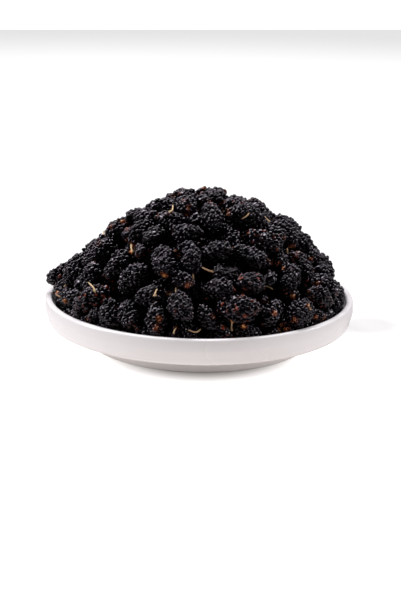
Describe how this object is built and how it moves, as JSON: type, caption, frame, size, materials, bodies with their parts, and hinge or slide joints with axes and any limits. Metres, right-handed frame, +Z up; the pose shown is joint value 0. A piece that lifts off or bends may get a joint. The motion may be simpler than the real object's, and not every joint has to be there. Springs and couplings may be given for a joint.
{
  "type": "bowl of dried mulberries",
  "caption": "Low round white bowl on a foot ring, heaped with wrinkled near-black dried mulberries, some with short pale stalks.",
  "frame": {"origin": "centre of the bowl's foot ring, on the surface that it stands on", "axes": "+Z up along the bowl's axis; the picture looks along +Y, with +X to its right"},
  "size_m": [0.15, 0.15, 0.0754],
  "materials": {
    "glaze": "glossy white glaze",
    "dried_fruit": "wrinkled, near-black with a purple tinge and small soft glints, red-brown and tan at the stalk ends"
  },
  "bodies": {
    "root": {"bowl": "glaze", "mulberry_01": "dried_fruit", "mulberry_02": "dried_fruit", "mulberry_03": "dried_fruit", "mulberry_04": "dried_fruit", "mulberry_05": "dried_fruit", "mulberry_06": "dried_fruit", "mulberry_07": "dried_fruit", "mulberry_08": "dried_fruit", "mulberry_09": "dried_fruit", "mulberry_10": "dried_fruit", "mulberry_11": "dried_fruit", "mulberry_12": "dried_fruit", "mulberry_13": "dried_fruit", "mulberry_14": "dried_fruit", "mulberry_15": "dried_fruit", "mulberry_16": "dried_fruit", "mulberry_17": "dried_fruit", "mulberry_18": "dried_fruit", "mulberry_19": "dried_fruit", "mulberry_20": "dried_fruit", "mulberry_21": "dried_fruit", "mulberry_22": "dried_fruit", "mulberry_23": "dried_fruit", "mulberry_24": "dried_fruit", "mulberry_25": "dried_fruit", "mulberry_26": "dried_fruit", "mulberry_27": "dried_fruit", "mulberry_28": "dried_fruit", "mulberry_29": "dried_fruit", "mulberry_30": "dried_fruit", "mulberry_31": "dried_fruit", "mulberry_32": "dried_fruit", "mulberry_33": "dried_fruit", "mulberry_34": "dried_fruit", "mulberry_35": "dried_fruit", "mulberry_36": "dried_fruit", "mulberry_37": "dried_fruit", "mulberry_bed": "dried_fruit", "mulberry_pair_38": "dried_fruit", "mulberry_pair_39": "dried_fruit", "mulberry_pair_40": "dried_fruit", "mulberry_pair_41": "dried_fruit", "mulberry_pair_42": "dried_fruit", "mulberry_pair_43": "dried_fruit", "mulberry_pair_44": "dried_fruit", "mulberry_pair_45": "dried_fruit", "mulberry_pair_46": "dried_fruit", "mulberry_pair_47": "dried_fruit", "mulberry_pair_48": "dried_fruit", "mulberry_pair_49": "dried_fruit", "mulberry_pair_50": "dried_fruit", "mulberry_pair_51": "dried_fruit", "mulberry_pair_52": "dried_fruit", "mulberry_pair_53": "dried_fruit", "mulberry_pair_54": "dried_fruit", "mulberry_pair_55": "dried_fruit", "mulberry_pair_56": "dried_fruit", "mulberry_pair_57": "dried_fruit", "mulberry_pair_58": "dried_fruit"}
  },
  "joints": []
}
